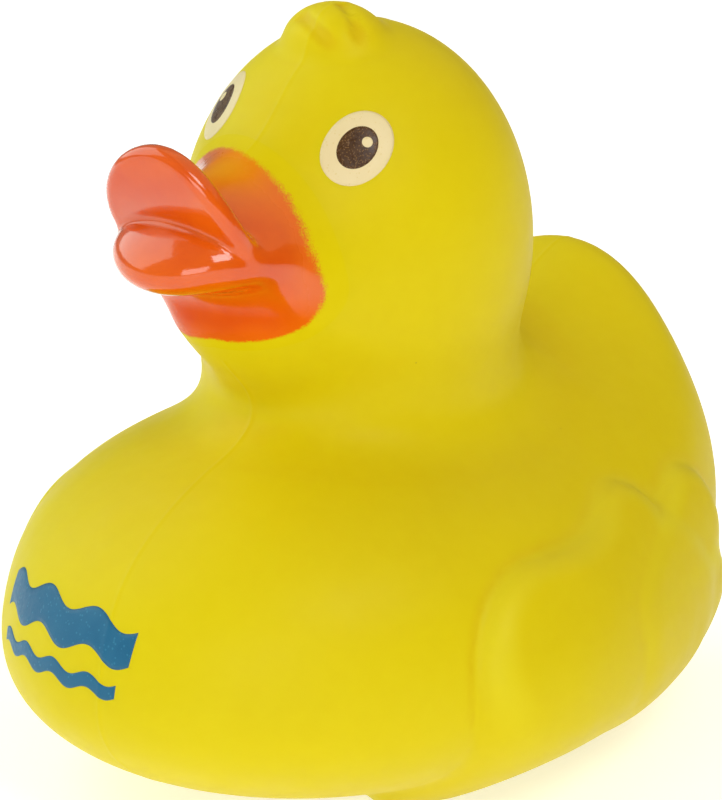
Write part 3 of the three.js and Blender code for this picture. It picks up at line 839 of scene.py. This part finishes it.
def build_eye(side, inks):
    middle = on_skin(centre_mm(f"eye_white_{side}")[None])[0]
    axes = tangent_axes(middle)
    sign = 1 if side == "left" else -1
    dot = middle + sign * CATCHLIGHT_ACROSS * axes[0] + CATCHLIGHT_UP * axes[1]
    dot_radii = (CATCHLIGHT_RADIUS, CATCHLIGHT_RADIUS)
    layers = (
        ("eye_white", middle, EYE_WHITE, LIFT_WHITE, "cream_ink", 14),
        ("iris", middle, IRIS, LIFT_IRIS, "brown_ink", 12),
        ("catchlight", dot, dot_radii, LIFT_CATCHLIGHT, "cream_ink", 6),
    )
    for kind, at, radii, lift, ink, rings in layers:
        name = f"{kind}_{side}"
        disc = ink_disc(name + "_ink", at, axes, radii, sign * EYE_TURN, lift, rings)
        finish_piece(disc, inks[ink], name)


# Half length, height, wave height and number of waves of each band on the chest.
PRINT_WAVES = {
    "print_wave_upper": dict(half=11.7, high=3.9, crest=0.7, count=3),
    "print_wave_lower": dict(half=10.6, high=1.5, crest=0.4, count=4),
}


def build_print(ink):
    for node, wave in PRINT_WAVES.items():
        middle = on_skin(centre_mm(node)[None])[0]
        across, up = tangent_axes(middle)
        level = across * (1, 1, 0)
        band = ink_band(node + "_ink", middle, (level, up), **wave)
        finish_piece(band, ink, node)


# ------------------------------------------------------------------ squeaker
CUP_BORE, CUP_VENT, CUP_TAPER = 3.7, 1.3, 0.12
# The middle of the cup's face lies back a little inside a sloping rim.
FACE_DEPTH, FACE_RADIUS, FACE_RIM = 0.25, 3.2, 3.6
CORNER_ROUND, ROUND_STEPS = 0.15, 3
ROUND_LIMIT = 0.45  # a corner's round takes no more than this share of an edge


def lathe(name, outline, sides=TURNED_SIDES):
    """A closed ring turned round the squeaker's axis from (radius, height) points."""
    angle = np.arange(sides) * 2 * math.pi / sides
    verts, faces = [], []
    for radius, z in outline:
        x = CUP_CENTRE[0] + radius * np.cos(angle)
        y = CUP_CENTRE[1] + radius * np.sin(angle)
        verts.append(np.column_stack([x, y, np.full(sides, z)]))
    rows = len(outline)
    for i in range(rows):
        for j in range(sides):
            a, b = i * sides + j, i * sides + (j + 1) % sides
            c, d = ((i + 1) % rows) * sides + j, ((i + 1) % rows) * sides + (j + 1) % sides
            faces.append((a, b, d, c))
    return new_piece(name, np.concatenate(verts), faces)


def rounded(points):
    """The closed outline with each corner cut back into a small round."""
    result = []
    points = [np.array(p, float) for p in points]
    for i, corner in enumerate(points):
        before, after = points[i - 1], points[(i + 1) % len(points)]
        a = (before - corner) / np.linalg.norm(before - corner)
        b = (after - corner) / np.linalg.norm(after - corner)
        shorter = min(np.linalg.norm(before - corner), np.linalg.norm(after - corner))
        cut = min(CORNER_ROUND, ROUND_LIMIT * shorter)
        for k in range(ROUND_STEPS + 1):
            t = k / ROUND_STEPS
            result.append(corner + a * cut * (1 - t) ** 2 + b * cut * t**2)
    return [tuple(p) for p in result]


def build_squeaker(white):
    shelf = CUP_FOOT + CUP_SHELF
    outline = [
        (CUP_VENT, CUP_FOOT + FACE_DEPTH),
        (FACE_RADIUS, CUP_FOOT + FACE_DEPTH),
        (FACE_RIM, CUP_FOOT),
        (CUP_FLANGE, CUP_FOOT),
        (CUP_FLANGE, shelf),
        (CUP_TUBE, shelf),
        (CUP_TUBE - CUP_TAPER, CUP_HEAD),
        (CUP_BORE, CUP_HEAD),
        (CUP_BORE, shelf),
        (CUP_VENT, shelf),
    ]
    cup = lathe("squeaker_cup_turned", rounded(outline))
    finish_piece(cup, white, "squeaker_cup")


# ------------------------------------------------------------------ assembly
# Each ink's two tones, screen and gloss, and each plastic's two tones and gloss.
INKS = {
    "cream_ink": dict(
        main=(0.77, 0.65, 0.37), other=(0.72, 0.58, 0.27), dots_per_mm=5, share=0.1
    ),
    "brown_ink": dict(
        main=(0.045, 0.016, 0.003),
        other=(0.24, 0.125, 0.04),
        dots_per_mm=7,
        share=0.34,
        roughness=0.3,
    ),
    "blue_ink": dict(
        main=(0.012, 0.115, 0.23), other=(0.03, 0.19, 0.32), dots_per_mm=4, share=0.12
    ),
}
PLASTICS = {
    "white_plastic": dict(colour=(0.86, 0.85, 0.8), other=(0.8, 0.78, 0.72), roughness=0.35),
    "reed_film": dict(colour=(0.72, 0.76, 0.76), other=(0.62, 0.68, 0.7), roughness=0.2),
}


def build_duck():
    verts, quads, normals = build_casting()
    # the skin dips a little under the sprayed coat, so it can't show through it
    dip = COAT_DIP * np.clip(-paint_distance(verts) / COAT_MARGIN, 0, 1)
    dipped = verts - normals * dip[:, None]
    places, faces, directions, used = squeaker_hole(dipped, quads, normals)
    skin = new_piece("duck_skin", places, faces)
    smooth_normals(skin, directions)
    # fold and crest place the painted shade in the creases and the painted highlight on the wing rims
    for name, measure in (("fold", fold_depth), ("crest", wing_rim), ("paint", paint_distance)):
        values = np.zeros(len(places))
        values[: len(used)] = measure(verts[used])
        set_attribute(skin, name, values)
    finish_piece(skin, vinyl_material(), "body_shell")
    coat = bill_coat(verts, quads, normals)
    finish_piece(coat, bill_material(), "bill_paint")
    inks = {name: ink_material(name, **look) for name, look in INKS.items()}
    for side in ("left", "right"):
        build_eye(side, inks)
    build_print(inks["blue_ink"])
    white, clear = (plastic_material(name, **look) for name, look in PLASTICS.items())
    build_squeaker(white)
    for node, material in (("reed_seat", white), ("reed_clip", white), ("reed", clear)):
        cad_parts[node].material_slots[0].material = material


build_duck()


# ------------------------------------------------------------------ stage
FLOOR_SIZE, FLOOR_TONES = 6, ((0.8, 0.8, 0.8), (0.82, 0.82, 0.82))


def floor_material():
    """A pale sheet lit softly from below, like a light table."""
    n = Nodes("floor")
    cloud = n.ramp(n.noise(per_mm=0.01, detail=2), low=0.3, high=0.7)
    return n.surface(
        n.mix(cloud, *FLOOR_TONES),
        roughness=0.7,
        Emission_Color=(0.92, 0.96, 1.0, 1.0),
        Emission_Strength=0.53,
        Specular_IOR_Level=0.2,
    )


ROOM_BRIGHT_SIDE = (-0.6, -0.6, 0.53)
ROOM_DIM, ROOM_BRIGHT = 0.12, 0.37
ROOM_DIM_COLOUR, ROOM_BRIGHT_COLOUR = (1.0, 0.78, 0.45), (1.0, 0.92, 0.86)


def studio_world():
    """A warm white room, brighter towards the duck's front right than behind its left."""
    world = bpy.data.worlds.new("studio")
    world.use_nodes = True
    tree = world.node_tree
    background = tree.nodes["Background"]
    bearing = tree.nodes.new("ShaderNodeTexCoord")
    facing = tree.nodes.new("ShaderNodeVectorMath")
    facing.operation = "DOT_PRODUCT"
    facing.inputs[1].default_value = ROOM_BRIGHT_SIDE
    tree.links.new(bearing.outputs["Generated"], facing.inputs[0])
    fade, share = (tree.nodes.new("ShaderNodeMapRange") for _ in range(2))
    for ramp in (fade, share):
        tree.links.new(facing.outputs["Value"], ramp.inputs["Value"])
        ramp.inputs["From Min"].default_value = -1
    fade.inputs["To Min"].default_value = ROOM_DIM
    fade.inputs["To Max"].default_value = ROOM_BRIGHT
    tree.links.new(fade.outputs[0], background.inputs["Strength"])
    colour = tree.nodes.new("ShaderNodeMix")
    colour.data_type = "RGBA"
    tree.links.new(share.outputs[0], colour.inputs["Factor"])
    colour.inputs[6].default_value = (*ROOM_DIM_COLOUR, 1)
    colour.inputs[7].default_value = (*ROOM_BRIGHT_COLOUR, 1)
    tree.links.new(colour.outputs[2], background.inputs["Color"])
    return world


def stage():
    bpy.ops.mesh.primitive_plane_add(size=FLOOR_SIZE)
    floor = bpy.context.object
    floor.name = "floor"
    floor.data.materials.append(floor_material())
    bpy.context.scene.world = studio_world()
    bpy.context.scene.view_settings.view_transform = "Standard"


# Soft boxes: bearings in degrees like the camera's, distance and size in metres, power in watts.
LIGHT_AIM = (0, 0, 0.04)
WHITE = (1, 1, 1)
LIGHTS = {
    "key": dict(bearing=(-70, 36), distance=1.0, size=(1.2, 1.0), power=6.9, colour=(0.84, 1, 0.95)),
    "box_high": dict(bearing=(66, 44), distance=0.7, size=(0.27, 0.25), power=1.5, colour=WHITE),
    "box_low": dict(bearing=(29, 12), distance=0.7, size=(0.36, 0.24), power=1.02, colour=WHITE),
    "top": dict(bearing=(150, 60), distance=1.2, size=(1.7, 1.7), power=4.8, colour=(1, 0.8, 0.46)),
}


def direction(azimuth, elevation):
    """Unit vector from the duck towards a bearing: azimuth round from the bill to its left."""
    a, e = math.radians(azimuth), math.radians(elevation)
    return Vector((math.sin(a) * math.cos(e), -math.cos(a) * math.cos(e), math.sin(e)))


def area_light(name, bearing, distance, size, power, colour):
    """A soft box that looks at the duck's middle."""
    back = direction(*bearing)
    data = bpy.data.lights.new(name, "AREA")
    data.shape, data.size, data.size_y = "RECTANGLE", *size
    data.energy, data.color = power, colour
    light = bpy.data.objects.new(name, data)
    light.location = Vector(LIGHT_AIM) + back * distance
    light.rotation_euler = back.to_track_quat("Z", "Y").to_euler()
    bpy.context.scene.collection.objects.link(light)


def camera():
    data = bpy.data.cameras.new("camera")
    data.lens, data.sensor_width = LENS, SENSOR
    data.clip_start, data.clip_end = CLIP_START, CLIP_END
    cam = bpy.data.objects.new("camera", data)
    back = direction(VIEW_AZIMUTH, VIEW_ELEVATION)
    cam.location = (Vector(VIEW_AIM) + back * VIEW_DISTANCE) * MM
    cam.rotation_euler = back.to_track_quat("Z", "Y").to_euler()
    bpy.context.scene.collection.objects.link(cam)
    bpy.context.scene.camera = cam


stage()
camera()
for name, light in LIGHTS.items():
    area_light(name, **light)
